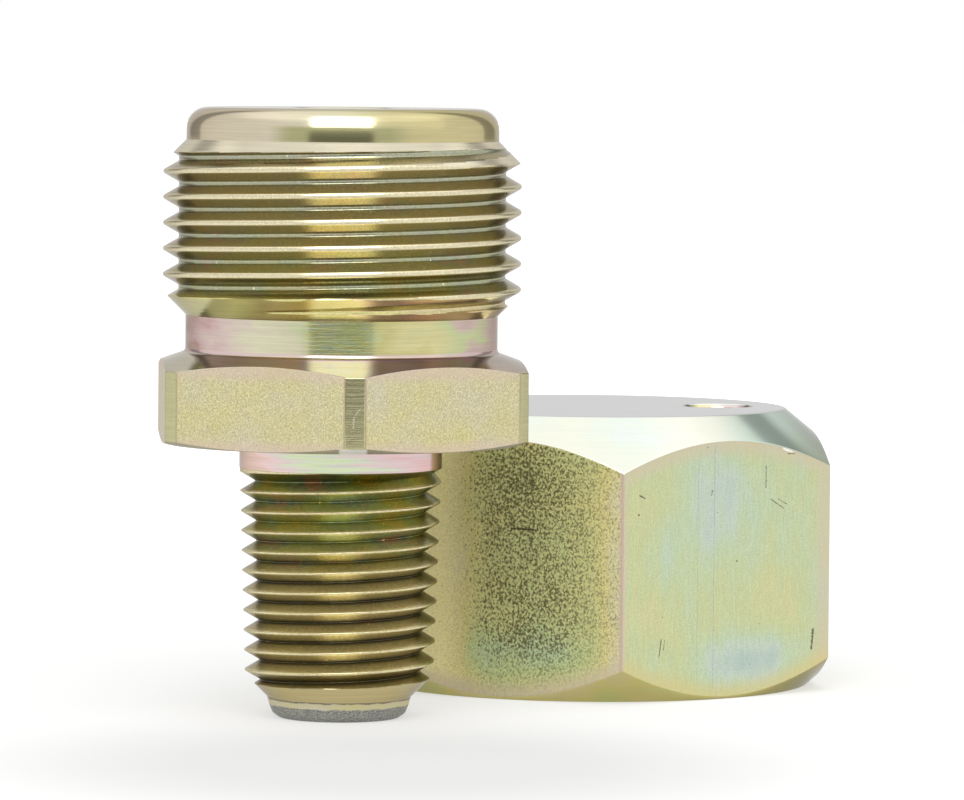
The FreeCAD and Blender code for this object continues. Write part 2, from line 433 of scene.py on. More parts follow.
def break_edges(shape, width):
    """Round over the rims of the milled sides, as plating and tumbling leave them."""
    sides = [face for face in shape.faces if len(face.verts) > many_corners]
    rims = {edge for face in sides for edge in face.edges}
    bmesh.ops.bevel(shape, geom=list(rims), offset=width, segments=2, profile=0.5, affect="EDGES",
                    material=-1, clamp_overlap=False)


mill_hexagon(adapter_shape, hex_flats, hex_turn, side_slot, slots=1)
break_edges(adapter_shape, width=0.06 * mm)


def finish_piece(name, shape, place, body, node_name):
    """Put a finished bmesh in its place as a piece that stands for its CAD node."""
    bmesh.ops.recalc_face_normals(shape, faces=shape.faces)
    bmesh.ops.translate(shape, verts=shape.verts, vec=place)
    mesh = bpy.data.meshes.new(name)
    shape.to_mesh(mesh)
    shape.free()
    mesh.shade_smooth()
    mesh.set_sharp_from_angle(angle=math.radians(40))
    piece = bpy.data.objects.new(name, mesh)
    bpy.context.scene.collection.objects.link(piece)
    weighting = piece.modifiers.new("flat_faces_first", "WEIGHTED_NORMAL")
    weighting.keep_sharp = True
    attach(piece, body)
    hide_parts(node_name)
    return piece


adapter = finish_piece("adapter_turned", adapter_shape, (0, 0, 0), "root", "adapter")


def shade_group(name, inputs, outputs):
    """A node group with named sockets. A value of None makes a vector input."""
    group = bpy.data.node_groups.new(name, "ShaderNodeTree")
    for label, value in inputs.items():
        kind = "NodeSocketVector" if value is None else "NodeSocketFloat"
        socket = group.interface.new_socket(label, in_out="INPUT", socket_type=kind)
        if value is not None:
            socket.default_value = value
    for label, kind in outputs.items():
        group.interface.new_socket(label, in_out="OUTPUT", socket_type="NodeSocket" + kind)
    return group, add_node(group, "NodeGroupInput").outputs, add_node(group, "NodeGroupOutput").inputs


def place_group(tree, group, inputs):
    """A group's node in a material, with its own values."""
    return add_node(tree, "ShaderNodeGroup", inputs, node_tree=group).outputs


def stretch(tree, vector, *scale):
    """A place scaled along each axis. Below 1 the pattern drawn on it grows longer that way."""
    return add_node(tree, "ShaderNodeMapping", {"Vector": vector, "Scale": scale}).outputs["Vector"]


def noise(tree, vector, size, detail=2.0, roughness=0.5):
    """Soft noise whose clouds are about one size across."""
    scale = calculate(tree, "DIVIDE", 1.0, size)
    inputs = {"Vector": vector, "Scale": scale, "Detail": detail, "Roughness": roughness}
    return add_node(tree, "ShaderNodeTexNoise", inputs).outputs["Fac"]


def centred(tree, value, reach):
    """A value from 0 to 1 moved to lie evenly about 0, over a reach."""
    return product(tree, calculate(tree, "SUBTRACT", value, 0.5), reach)


def mix_colour(tree, factor, first, second, blend_type="MIX"):
    """Two colours mixed by a factor."""
    return add_node(tree, "ShaderNodeMix", {0: factor, 6: first, 7: second}, data_type="RGBA",
                    blend_type=blend_type).outputs[2]


def colour_bands(tree, value, bands):
    """A colour ramp: each band is a place from 0 to 1 and a colour."""
    made = add_node(tree, "ShaderNodeValToRGB", {"Fac": value})
    stops = made.color_ramp.elements
    while len(stops) < len(bands):
        stops.new(0.5)
    for stop, (where, colour) in zip(stops, bands):
        stop.position = where
        stop.color = (*colour, 1)
    return made.outputs["Color"]


# Chromate film over zinc takes its colour from its thickness, which drifts in clouds.
film_colours = [
    (0.00, (0.68, 0.65, 0.56)),
    (0.14, (0.65, 0.60, 0.40)),
    (0.28, (0.66, 0.60, 0.26)),
    (0.42, (0.54, 0.60, 0.28)),
    (0.54, (0.48, 0.62, 0.40)),
    (0.62, (0.50, 0.62, 0.54)),
    (0.72, (0.34, 0.49, 0.51)),
    (0.80, (0.64, 0.52, 0.56)),
    (0.87, (0.68, 0.48, 0.45)),
    (0.93, (0.58, 0.44, 0.28)),
    (1.00, (0.50, 0.42, 0.22)),
]
film, given, result = shade_group(
    "chromate_film", {"Vector": None, "Cloud Size": 6.0, "Thickness": 0.14, "Spread": 0.2},
    {"Colour": "Color"})
clouds = noise(film, given["Vector"], given["Cloud Size"], 3.0)
thickness = calculate(film, "ADD", centred(film, clouds, given["Spread"]), given["Thickness"])
film.links.new(colour_bands(film, thickness, film_colours), result["Colour"])


def film_on(tree, vector, size, thickness, spread):
    """The film's colour, from its mean thickness and the size and spread of its clouds."""
    inputs = {"Vector": vector, "Cloud Size": size, "Thickness": thickness, "Spread": spread}
    return place_group(tree, film, inputs)["Colour"]


# Fine grain of a peened or drawn surface.
grain, given, result = shade_group("fine_grain", {"Vector": None, "Size": 0.1}, {"Factor": "Float"})
speckle = noise(grain, given["Vector"], given["Size"], 2.0, 0.75)
grain.links.new(ramp(grain, speckle, 0.3, 0.7), result["Factor"])


def grain_on(tree, vector, size):
    """Grain of a size, from 0 to 1."""
    return place_group(tree, grain, {"Vector": vector, "Size": size})["Factor"]


# Lines that a lathe tool leaves round a piece, one height apart.
lathe, given, result = shade_group("turning_lines", {"Vector": None, "Spacing": 0.15}, {"Factor": "Float"})
drawn_out = stretch(lathe, given["Vector"], 0.02, 0.02, 1)
lathe.links.new(ramp(lathe, noise(lathe, drawn_out, given["Spacing"], 3.0, 0.7), 0.3, 0.7), result["Factor"])


def lines_on(tree, vector, spacing):
    """Turning lines a spacing apart, from 0 to 1."""
    return place_group(tree, lathe, {"Vector": vector, "Spacing": spacing})["Factor"]


# Small round pits and specks: only a share of the cells has one.
pits, given, result = shade_group(
    "pits", {"Vector": None, "Spacing": 0.5, "Size": 0.2, "Share": 0.3}, {"Mask": "Float"})
cells = add_node(pits, "ShaderNodeTexVoronoi", {
    "Vector": given["Vector"], "Scale": calculate(pits, "DIVIDE", 1.0, given["Spacing"])}).outputs
pick = add_node(pits, "ShaderNodeSeparateColor", {"Color": cells["Color"]}).outputs
reach = product(pits, given["Size"], calculate(pits, "ADD", 0.4, pick["Green"]))
spot = calculate(pits, "LESS_THAN", cells["Distance"], reach)
chosen = calculate(pits, "LESS_THAN", pick["Red"], given["Share"])
pits.links.new(product(pits, spot, chosen), result["Mask"])


def pits_on(tree, vector, spacing, size, share):
    """A mask of pits, from their spacing, their size in it and the share of places that have one."""
    inputs = {"Vector": vector, "Spacing": spacing, "Size": size, "Share": share}
    return place_group(tree, pits, inputs)["Mask"]


# A scratch or a rubbed line between two places on a flat side, in millimetres along it and up.
scratch, given, result = shade_group(
    "scratch_mark", {"Vector": None, "Start": None, "End": None, "Width": 0.08}, {"Mask": "Float"})
whole_way = vector_math(scratch, "SUBTRACT", given["End"], given["Start"])
away = vector_math(scratch, "SUBTRACT", given["Vector"], given["Start"])
share = calculate(
    scratch, "DIVIDE", vector_math(scratch, "DOT_PRODUCT", away, whole_way, result="Value"),
    vector_math(scratch, "DOT_PRODUCT", whole_way, whole_way, result="Value"), clamp=True)
foot = add_node(scratch, "ShaderNodeVectorMath", {0: whole_way, "Scale": share}, operation="SCALE")
beside = vector_math(scratch, "DISTANCE", away, foot.outputs["Vector"], result="Value")
worn = noise(scratch, given["Vector"], 0.25, 3.0, 0.7)
width = product(scratch, given["Width"], ramp(scratch, worn, 0.35, 0.6, 0.3, 1.3))
scratch.links.new(ramp(scratch, calculate(scratch, "DIVIDE", beside, width), 1.0, 0.5), result["Mask"])


def scratch_on(tree, vector, start, end, width):
    """A mask of one scratch. Start and end are places along the side and up."""
    ends = {"Start": (start[0], 0, start[1]), "End": (end[0], 0, end[1])}
    return place_group(tree, scratch, {"Vector": vector, **ends, "Width": width})["Mask"]


def new_plating(name):
    """A material with its tree and its place in millimetres."""
    made = bpy.data.materials.new(name)
    made.use_nodes = True
    made.node_tree.nodes.clear()
    tree = made.node_tree
    place = add_node(tree, "ShaderNodeTexCoord").outputs["Object"]
    return made, tree, stretch(tree, place, 1 / mm, 1 / mm, 1 / mm)


def from_axis(tree, axes):
    """The distance from the Z axis."""
    flat = add_node(tree, "ShaderNodeCombineXYZ", {"X": axes["X"], "Y": axes["Y"]}).outputs["Vector"]
    return vector_math(tree, "LENGTH", flat, result="Value")


def finish_plating(tree, colour, roughness, height, relief, tint, metallic=1.0):
    """The Principled shader and its bump. Tint dulls the reflection at a glancing angle."""
    bump = add_node(tree, "ShaderNodeBump", {"Height": height, "Strength": 1.0, "Distance": relief * mm})
    shader = add_node(tree, "ShaderNodeBsdfPrincipled", {
        "Base Color": colour, "Roughness": roughness, "Metallic": metallic, "Specular Tint": tint,
        "Normal": bump.outputs["Normal"]})
    add_node(tree, "ShaderNodeOutputMaterial", {"Surface": shader.outputs["BSDF"]})


def darken(tree, colour, factor, low, high):
    """A colour made darker or lighter, from low to high as the factor goes from 0 to 1."""
    shade = ramp(tree, factor, 0.0, 1.0, low, high)
    grey = add_node(tree, "ShaderNodeCombineColor", {"Red": shade, "Green": shade, "Blue": shade})
    return mix_colour(tree, 1.0, colour, grey.outputs["Color"], "MULTIPLY")


def across_piece(tree, axes, drift, reach):
    """From 0 at the left to 1 at the right of a turned face, with the drift of the film."""
    return ramp(tree, calculate(tree, "ADD", axes["X"], drift), -reach, reach, kind="LINEAR")


def between(tree, height, low, high, soft):
    """A mask that is 1 between two heights, with soft edges."""
    above_low = ramp(tree, height, low - soft, low + soft)
    return product(tree, above_low, ramp(tree, height, high + soft, high - soft))


# Turned faces are glossy. The film on them runs in soft bands from rose at the sides to green in
# front on the neck and the collar, and it is thicker on the cones of the threads. A span is two
# heights and the softness of its ends, in millimetres.
turned_tint = (0.6, 0.58, 0.56, 1)
collar_span = (17.2, 19.45, 0.15)
under_span = (19.44, 19.9, 0.02)
shoulder_span = (24.75, 26.0, 0.08)
neck_foot_span = (26.0, 26.2, 0.08)
low_cone_span = (28.55, 33.0, 0.15)
high_cone_span = (38.0, 40.8, 0.1)
front_corner = 1.15
turned_plating, tree, place = new_plating("adapter_turned_plating")
axes = axes_of(tree, place)
aside = calculate(tree, "ABSOLUTE", axes["X"])
lines = lines_on(tree, place, 0.16)
dust = grain_on(tree, place, 0.1)
drift = centred(tree, noise(tree, stretch(tree, place, 0.6, 0.6, 1.6), 2.2, 3.0), 9.0)
streaked = stretch(tree, place, 0.25, 0.25, 3.0)
streak_drift = centred(tree, noise(tree, streaked, 1.6, 3.0), 14.0)
neck_colour = colour_bands(tree, across_piece(tree, axes, drift, 12.5), [
    (0.04, (0.42, 0.30, 0.22)),
    (0.11, (0.64, 0.45, 0.44)),
    (0.20, (0.68, 0.56, 0.50)),
    (0.28, (0.70, 0.67, 0.48)),
    (0.40, (0.66, 0.62, 0.44)),
    (0.52, (0.56, 0.64, 0.36)),
    (0.64, (0.58, 0.54, 0.24)),
    (0.72, (0.68, 0.62, 0.32)),
    (0.83, (0.55, 0.60, 0.33)),
    (0.89, (0.60, 0.47, 0.42)),
    (0.97, (0.54, 0.39, 0.34)),
])
neck_middle = ramp(tree, aside, 2.4, 2.0)
fleck = film_on(tree, streaked, size=0.35, thickness=0.50, spread=1.5)
neck_colour = mix_colour(tree, product(tree, neck_middle, 0.45), neck_colour, fleck)
# The middle of the neck's front is painted lighter: painted light over the dark reflection there.
neck_painted_light = mix_colour(tree, neck_middle, (1, 1, 1, 1), (1.30, 1.24, 1.02, 1))
neck_colour = mix_colour(tree, 1.0, neck_colour, neck_painted_light, "MULTIPLY")
collar_colour = colour_bands(tree, across_piece(tree, axes, streak_drift, 7.2), [
    (0.05, (0.74, 0.54, 0.46)),
    (0.16, (0.80, 0.59, 0.57)),
    (0.28, (0.70, 0.60, 0.57)),
    (0.38, (0.62, 0.68, 0.50)),
    (0.48, (0.62, 0.70, 0.44)),
    (0.58, (0.60, 0.64, 0.52)),
    (0.68, (0.66, 0.56, 0.52)),
    (0.80, (0.70, 0.53, 0.54)),
    (0.95, (0.72, 0.49, 0.48)),
])
# The nose is darker and more olive just right of its front, partly film and partly a painted dark reflection
# of the gap between the lights.
nose_colour = colour_bands(tree, across_piece(tree, axes, 0.0, 12.5), [
    (0.10, (0.66, 0.57, 0.42)),
    (0.32, (0.68, 0.61, 0.46)),
    (0.50, (0.66, 0.62, 0.42)),
    (0.64, (0.58, 0.52, 0.28)),
    (0.76, (0.63, 0.56, 0.29)),
    (0.92, (0.62, 0.54, 0.30)),
])
# Low on the nose's front wall, under the lamp's highlight, a painted dark reflection.
nose_painted_reflection = product(tree, ramp(tree, aside, 5.2, 3.2), ramp(tree, axes["Z"], 42.05, 41.75))
nose_colour = mix_colour(tree, nose_painted_reflection, nose_colour, (0.44, 0.42, 0.22, 1))
low_cone_colour = colour_bands(tree, across_piece(tree, axes, product(tree, drift, 0.4), 10.0), [
    (0.05, (0.60, 0.58, 0.32)),
    (0.18, (0.70, 0.69, 0.32)),
    (0.27, (0.82, 0.80, 0.38)),
    (0.36, (0.68, 0.68, 0.25)),
    (0.46, (0.55, 0.54, 0.17)),
    (0.56, (0.62, 0.60, 0.18)),
    (0.65, (0.74, 0.68, 0.24)),
    (0.75, (0.80, 0.68, 0.28)),
    (0.92, (0.72, 0.56, 0.30)),
])
shoulder_colour = colour_bands(tree, across_piece(tree, axes, 0.0, 12.5), [
    (0.12, (0.68, 0.64, 0.50)),
    (0.22, (0.40, 0.33, 0.25)),
    (0.38, (0.45, 0.32, 0.23)),
    (0.42, (0.37, 0.32, 0.36)),
    (0.57, (0.37, 0.32, 0.40)),
    (0.62, (0.29, 0.21, 0.30)),
    (0.72, (0.25, 0.17, 0.25)),
    (0.80, (0.42, 0.27, 0.30)),
    (0.90, (0.58, 0.50, 0.42)),
])
to_sides = ramp(tree, aside, 6.4, 8.6)
high_cone_colour = mix_colour(tree, to_sides, (0.57, 0.52, 0.40, 1), (0.86, 0.79, 0.60, 1))

colour = mix_colour(tree, ramp(tree, axes["Z"], 12.0, 18.0), (0.60, 0.54, 0.34, 1), neck_colour)
lead_in_middle = product(tree, ramp(tree, axes["Z"], 10.0, 5.0), ramp(tree, aside, 5.6, 3.6))
colour = mix_colour(tree, lead_in_middle, colour, (0.56, 0.47, 0.24, 1))
colour = mix_colour(tree, between(tree, axes["Z"], *collar_span), colour, collar_colour)
colour = mix_colour(tree, between(tree, axes["Z"], *shoulder_span), colour, shoulder_colour)
neck_foot = product(tree, between(tree, axes["Z"], *neck_foot_span), 0.7)
colour = mix_colour(tree, neck_foot, colour, (0.80, 0.60, 0.62, 1))
colour = mix_colour(tree, between(tree, axes["Z"], *low_cone_span), colour, low_cone_colour)
colour = mix_colour(tree, ramp(tree, axes["Z"], 36.0, 37.0), colour, high_cone_colour)
colour = mix_colour(tree, ramp(tree, axes["Z"], 40.8, 40.9), colour, nose_colour)

# The hexagon's corners keep a narrow turned strip. The front one is rubbed pale along a line,
# and the chamfer below it is painted white: a painted highlight.
at_corner = ramp(tree, from_axis(tree, axes), 14.2, 14.28)
corner_strip = product(tree, at_corner, ramp(tree, axes["Z"], 26.0, 25.0))
strip_colour = mix_colour(tree, dust, (0.52, 0.49, 0.27, 1), (0.58, 0.56, 0.33, 1))
rub_points = ((1.18, 21.34), (1.22, 22.1), (1.69, 22.75))
on_front = ramp(tree, axes["Y"], -10.0, -12.0)
seen_flat = vector_math(tree, "MULTIPLY", place, (1, 0, 1))
for start, end in zip(rub_points, rub_points[1:]):
    rubbed = product(tree, scratch_on(tree, seen_flat, start, end, 0.06), on_front)
    strip_colour = mix_colour(tree, rubbed, strip_colour, (0.78, 0.76, 0.56, 1))
colour = mix_colour(tree, corner_strip, colour, strip_colour)
under = between(tree, axes["Z"], *under_span)
off_corner = calculate(tree, "ABSOLUTE", calculate(tree, "SUBTRACT", axes["X"], front_corner))
# Below the front corner the chamfer is painted white, a painted highlight.
corner_painted_highlight = ramp(tree, off_corner, 1.1, 0.8)
under_colour = mix_colour(tree, corner_painted_highlight, (0.50, 0.46, 0.36, 1), (0.96, 0.96, 0.96, 1))
colour = mix_colour(tree, under, colour, under_colour)
colour = darken(tree, colour, lines, 0.94, 1.03)
on_high_cone = between(tree, axes["Z"], *high_cone_span)
roughness = calculate(tree, "ADD", 0.13, product(tree, under, 0.45))
roughness = calculate(tree, "ADD", roughness, product(tree, on_high_cone, 0.07))
tool_marks = calculate(tree, "ADD", lines, product(tree, dust, 0.6))
marks_height = product(tree, tool_marks, ramp(tree, axes["Z"], 36.0, 40.0, 1.0, 0.3))
finish_plating(tree, colour, roughness, height=marks_height, relief=0.0015, tint=turned_tint)


# Threads hold a thicker, browner film than the open faces, and their flanks are painted darker as
# painted shade in the grooves; their crests are pale, partly rubbed and partly a painted highlight.
# The pipe thread is the rougher of the two, with grit in it and a green film on its upper turns, and
# its root is painted nearly black as painted shade.
def plate_thread(name, root, crest, taper, root_colour, deep, deep_from, flank_gain, crest_colour,
                 tint_rise, speck_colour, speck_share, darkest, roughness, relief, cone_span=None):
    """A thread's plating. Root and crest are radii at height 0, and taper is their growth a
    millimetre. Tint rise is two heights and the share of drifting film at each."""
    made, tree, place = new_plating(name)
    axes = axes_of(tree, place)
    radius = calculate(tree, "SUBTRACT", from_axis(tree, axes), product(tree, axes["Z"], taper))
    rise = ramp(tree, radius, root, crest, kind="LINEAR")
    # Flanks painted darker as painted shade in the grooves; crests paler, partly wear and partly a painted
    # highlight.
    body = colour_bands(tree, rise, [
        (0.0, root_colour),
        (deep_from, deep),
        (0.80, tuple(share * flank_gain for share in deep)),
        (0.91, crest_colour),
    ])
    tinted = film_on(tree, stretch(tree, place, 0.35, 0.35, 1), size=1.1, thickness=0.54, spread=1.7)
    tinted = mix_colour(tree, 1.0, tinted, (0.76, 0.70, 0.44, 1), "MULTIPLY")
    tint_share = product(tree, ramp(tree, axes["Z"], *tint_rise), ramp(tree, rise, 0.96, 0.80))
    colour = mix_colour(tree, tint_share, body, tinted)
    if cone_span:
        to_right = ramp(tree, axes["X"], 2.5, 6.0)
        cone_colour = mix_colour(tree, to_right, (0.76, 0.70, 0.29, 1), (0.68, 0.57, 0.31, 1))
        colour = mix_colour(tree, ramp(tree, axes["Z"], *cone_span, 0.0, 0.85), colour, cone_colour)
    specks = product(tree, pits_on(tree, place, 0.45, 0.14, speck_share), 0.8)
    colour = mix_colour(tree, specks, colour, speck_colour)
    dust = grain_on(tree, place, 0.1)
    colour = darken(tree, colour, dust, darkest, 1.16)
    height = calculate(tree, "ADD", lines_on(tree, place, 0.08), dust)
    finish_plating(tree, colour, roughness, height, relief, tint=turned_tint)
    return made


main_thread_plating = plate_thread(
    "adapter_thread_plating", root=11.56, crest=12.67, taper=0.0, root_colour=(0.42, 0.42, 0.32),
    deep=(0.41, 0.345, 0.21), deep_from=0.08, flank_gain=1.1, crest_colour=(0.74, 0.67, 0.46),
    tint_rise=(38.0, 30.0, 0.14, 0.36), speck_colour=(0.86, 0.82, 0.66, 1), speck_share=0.08,
    darkest=0.84, roughness=0.15, relief=0.0012, cone_span=(30.3, 29.9))
pipe_thread_plating = plate_thread(
    "adapter_pipe_thread_plating", root=5.54, crest=6.592, taper=0.03125, root_colour=(0.09, 0.075, 0.05),
    deep=(0.44, 0.375, 0.22), deep_from=0.28, flank_gain=1.3, crest_colour=(0.79, 0.71, 0.44),
    tint_rise=(9.5, 14.5, 0.10, 0.66), speck_colour=(0.84, 0.56, 0.26, 1), speck_share=0.22,
    darkest=0.72, roughness=0.25, relief=0.0025)

# The small end was left bare by the dip: dull and pitted steel up to a ragged scored line.
bare_line = (1.08, 1.16)
score_height = 1.58
bare_end, tree, place = new_plating("adapter_bare_end")
rough = grain_on(tree, place, 0.12)
steel = mix_colour(tree, rough, (0.17, 0.17, 0.15, 1), (0.46, 0.46, 0.42, 1))
gold = film_on(tree, place, size=2.0, thickness=0.15, spread=0.5)
ragged = product(tree, noise(tree, place, 1.2, 4.0, 0.7), 0.35)
level = calculate(tree, "ADD", axes_of(tree, place)["Z"], ragged)
colour = mix_colour(tree, ramp(tree, level, *bare_line), steel, gold)
off_score = calculate(tree, "ABSOLUTE", calculate(tree, "SUBTRACT", level, score_height))
score = product(tree, ramp(tree, off_score, 0.09, 0.04), 0.8)
colour = mix_colour(tree, score, colour, (0.16, 0.14, 0.12, 1))
finish_plating(tree, colour, roughness=0.42, height=rough, relief=0.01, tint=(0.8, 0.8, 0.8, 1))

# The hexagon's milled sides are satin, with a fine sparkle and rosy edges above and below.
milled_tint = (0.75, 0.72, 0.72, 1)
facet_plating, tree, place = new_plating("adapter_facet_plating")
axes = axes_of(tree, place)
sparkle = grain_on(tree, place, 0.085)
clouds = film_on(tree, place, size=4.0, thickness=0.19, spread=0.34)
colour = darken(tree, clouds, sparkle, 0.76, 1.14)
colour = darken(tree, colour, grain_on(tree, place, 0.14), 0.92, 1.14)
edge = calculate(tree, "MAXIMUM", ramp(tree, axes["Z"], 24.0, 25.0), ramp(tree, axes["Z"], 20.6, 19.6))
colour = mix_colour(tree, product(tree, edge, 0.5), colour, (0.70, 0.54, 0.48, 1))
side_line = ramp(tree, from_axis(tree, axes), 14.20, 14.27)
colour = mix_colour(tree, product(tree, side_line, 0.6), colour, (0.36, 0.24, 0.17, 1))
finish_plating(tree, colour, roughness=0.30, height=sparkle, relief=0.008, tint=milled_tint)

for plating in (turned_plating, main_thread_plating, pipe_thread_plating, bare_end, facet_plating):
    adapter.data.materials.append(plating)

# The cap nut: hexagon steel bar with a coned top and rim, a blind threaded socket with a thread
# relief at its end, and one vent hole drilled beside the axis. It stands on its open end.
cap_place = Vector((18.2, 27.33, 0)) * mm
cap_turn = 6.26
cap_flats = 33.34 * mm
cap_height = 20.66 * mm
stock_rad = cap_flats / math.sqrt(3) + 1 * mm
crown_rad = 14.55 * mm
crown_slope = math.tan(math.radians(39.2))
rim_rad = 16.45 * mm
rim_slope = math.tan(math.radians(42))
socket_rad = 11.7 * mm
socket_depth = 17.6 * mm
socket_groove = 1.08 * mm
relief_rad = 12.9 * mm
relief_foot = 15 * mm
mouth_rad = 13.1 * mm
vent_rad = 2.45 * mm
vent_offset = 9.6 * mm

outside_outline = rounded([
    (mouth_rad, 0, 0),
    (rim_rad, 0, 0.12 * mm),
    (stock_rad, (stock_rad - rim_rad) * rim_slope, 0),
    (stock_rad, cap_height - (stock_rad - crown_rad) * crown_slope, 0),
    (crown_rad, cap_height, 0.25 * mm),
    (crown_rad - 0.5 * mm, cap_height, 0),
])
closed_end_outline = rounded([
    (relief_rad, relief_foot + relief_rad - socket_rad, 0),
    (relief_rad, socket_depth, 0.3 * mm),
    (relief_rad - 0.5 * mm, socket_depth, 0),
])
vent_outline = rounded([
    (vent_rad + 0.2 * mm, socket_depth, 0),
    (vent_rad, socket_depth + 0.2 * mm, 0.05 * mm),
    (vent_rad, cap_height - 0.25 * mm, 0.05 * mm),
    (vent_rad + 0.25 * mm, cap_height, 0),
])


def socket_surface(height, depth):
    """The inside thread between its countersunk mouth and its relief."""
    return max(socket_rad + socket_groove - depth, mouth_rad - height, socket_rad + height - relief_foot)


socket_half = groove_rows(main_pitch, depth=socket_groove, root_flat=0.23 * mm, crest_flat=0.33 * mm,
                          root_round=0.08 * mm, crest_round=0.1 * mm)
relief_shoulder = relief_foot + relief_rad - socket_rad
socket_thread = cut_thread(main_pitch, 0, relief_shoulder, 0.9 * mm, socket_half, socket_surface)
vent_shape = spin_outline(vent_outline)
vent_way = Vector((math.cos(math.radians(cap_turn)), math.sin(math.radians(cap_turn)), 0))
bmesh.ops.translate(vent_shape, verts=vent_shape.verts, vec=vent_way * vent_offset)
cap_shape = weld_parts([
    spin_outline(outside_outline), spin_outline(closed_end_outline), socket_thread, vent_shape])
for flat_height in (cap_height, socket_depth):
    flat_rims = [edge for edge in cap_shape.edges if edge.is_boundary
                 and all(abs(vert.co.z - flat_height) < weld_width for vert in edge.verts)]
    bmesh.ops.triangle_fill(cap_shape, use_beauty=True, edges=flat_rims, normal=(0, 0, 1))
mill_hexagon(cap_shape, cap_flats, cap_turn, first_slot=1, slots=2)
break_edges(cap_shape, width=0.12 * mm)
cap_nut = finish_piece("cap_nut_turned", cap_shape, cap_place, "cap", "cap_nut")

# The coned top and rim are turned, and glossy. The film on them is thin and nearly white, and
# greener towards the right, and at the far right it is painted darker as a painted dark reflection.
# The flat top is faced, and the vent's wall is gold and rose, painted dark at both ends as painted
# shade in the hole.
crown_plating, tree, place = new_plating("cap_turned_plating")
axes = axes_of(tree, place)
lines = lines_on(tree, place, 0.16)
clouds = film_on(tree, place, size=6.0, thickness=0.38, spread=1.0)
colour = mix_colour(tree, 0.72, clouds, (0.84, 0.86, 0.84, 1))
colour = mix_colour(tree, ramp(tree, axes["X"], 26.5, 31.0, 0.0, 0.85), colour, (0.64, 0.79, 0.68, 1))
# Darker at the far right of the crown: a painted dark reflection.
colour = mix_colour(tree, ramp(tree, axes["X"], 31.5, 35.5, 0.0, 0.85), colour, (0.42, 0.46, 0.34, 1))
brushed = noise(tree, stretch(tree, place, 0.1, 1, 1), 2.0, 3.0)
top_colour = mix_colour(tree, brushed, (0.72, 0.71, 0.70, 1), (0.86, 0.85, 0.86, 1))
on_top = ramp(tree, axes["Z"], cap_height / mm - 0.06, cap_height / mm - 0.01)
colour = mix_colour(tree, on_top, colour, top_colour)
vent_place = (cap_place + vent_way * vent_offset) / mm
vent_axis = add_node(tree, "ShaderNodeCombineXYZ", {"X": vent_place.x, "Y": vent_place.y, "Z": axes["Z"]})
vent_reach = vector_math(tree, "DISTANCE", place, vent_axis.outputs["Vector"], result="Value")
# The vent's wall is painted dark at both ends: painted shade in the hole.
vent_colour = colour_bands(tree, ramp(tree, axes["X"], 25.4, 30.2, kind="LINEAR"), [
    (0.06, (0.34, 0.32, 0.24)),
    (0.18, (0.72, 0.67, 0.36)),
    (0.40, (0.74, 0.66, 0.46)),
    (0.60, (0.73, 0.60, 0.58)),
    (0.80, (0.68, 0.58, 0.56)),
    (0.94, (0.40, 0.29, 0.27)),
])
colour = mix_colour(tree, ramp(tree, vent_reach, 2.66, 2.62), colour, vent_colour)
rim_film = film_on(tree, place, size=4.0, thickness=0.30, spread=0.5)
rim_tint = mix_colour(tree, 1.0, rim_film, (0.80, 0.77, 0.68, 1), "MULTIPLY")
colour = mix_colour(tree, ramp(tree, axes["Z"], 6.0, 3.0), colour, rim_tint)
colour = darken(tree, colour, lines, 0.98, 1.0)
finish_plating(tree, colour, roughness=0.14, height=lines, relief=0.0004, tint=(0.6, 0.6, 0.6, 1))


def on_side(tree, place, azimuth):
    """Where a place is on the nearest of three milled sides: a vector and millimetres along the
    side from its middle and up, the distance from the cap's axis, and a mask of the first side."""
    turned = add_node(tree, "ShaderNodeMapping", {
        "Vector": place, "Location": cap_place / mm, "Rotation": (0, 0, math.radians(azimuth + 90))},
        vector_type="TEXTURE").outputs["Vector"]
    axes = axes_of(tree, turned)
    reach = vector_math(tree, "LENGTH", vector_math(tree, "MULTIPLY", turned, (1, 1, 0)), result="Value")
    angle = calculate(tree, "ARCTAN2", axes["X"], product(tree, axes["Y"], -1.0))
    third = calculate(tree, "WRAP", angle, math.radians(60), math.radians(-60))
    along = product(tree, reach, calculate(tree, "SINE", third))
    flat = add_node(tree, "ShaderNodeCombineXYZ", {"X": along, "Z": axes["Z"]}).outputs["Vector"]
    first = calculate(tree, "LESS_THAN", calculate(tree, "ABSOLUTE", angle), math.radians(31))
    return flat, along, axes["Z"], reach, first


def below_crown(tree, up, reach):
    """How far below the crown's edge a place on a milled side is."""
    edge = ramp(tree, reach, crown_rad / mm, crown_rad / mm + 5, cap_height / mm,
                cap_height / mm - 5 * crown_slope, kind="LINEAR")
    return calculate(tree, "SUBTRACT", edge, up)


def above_rim(tree, up, reach):
    """How far above the rim's edge a place on a milled side is."""
    edge = ramp(tree, reach, rim_rad / mm, rim_rad / mm + 5, 0.0, 5 * rim_slope, kind="LINEAR")
    return calculate(tree, "SUBTRACT", up, edge)


def patch_at(tree, flat, along, up, wide, tall):
    """A soft round patch on a side, 1 in its middle and 0 at its rim."""
    moved = add_node(tree, "ShaderNodeMapping", {
        "Vector": flat, "Location": (along, 0, up), "Scale": (wide, 1, tall)}, vector_type="TEXTURE")
    return ramp(tree, vector_math(tree, "LENGTH", moved.outputs["Vector"], result="Value"), 1.0, 0.0)


def add_all(tree, masks):
    """The sum of masks, each with its own strength."""
    total = 0.0
    for mask, strength in masks:
        total = calculate(tree, "ADD", total, product(tree, mask, strength))
    return total


def mark_side(tree, colour, flat, first, marks):
    """Scratches on the one side that has them: start, end, width and colour, in millimetres."""
    for start, end, width, tone in marks:
        mask = product(tree, scratch_on(tree, flat, start, end, width), first)
        colour = mix_colour(tree, mask, colour, (*tone, 1))
    return colour
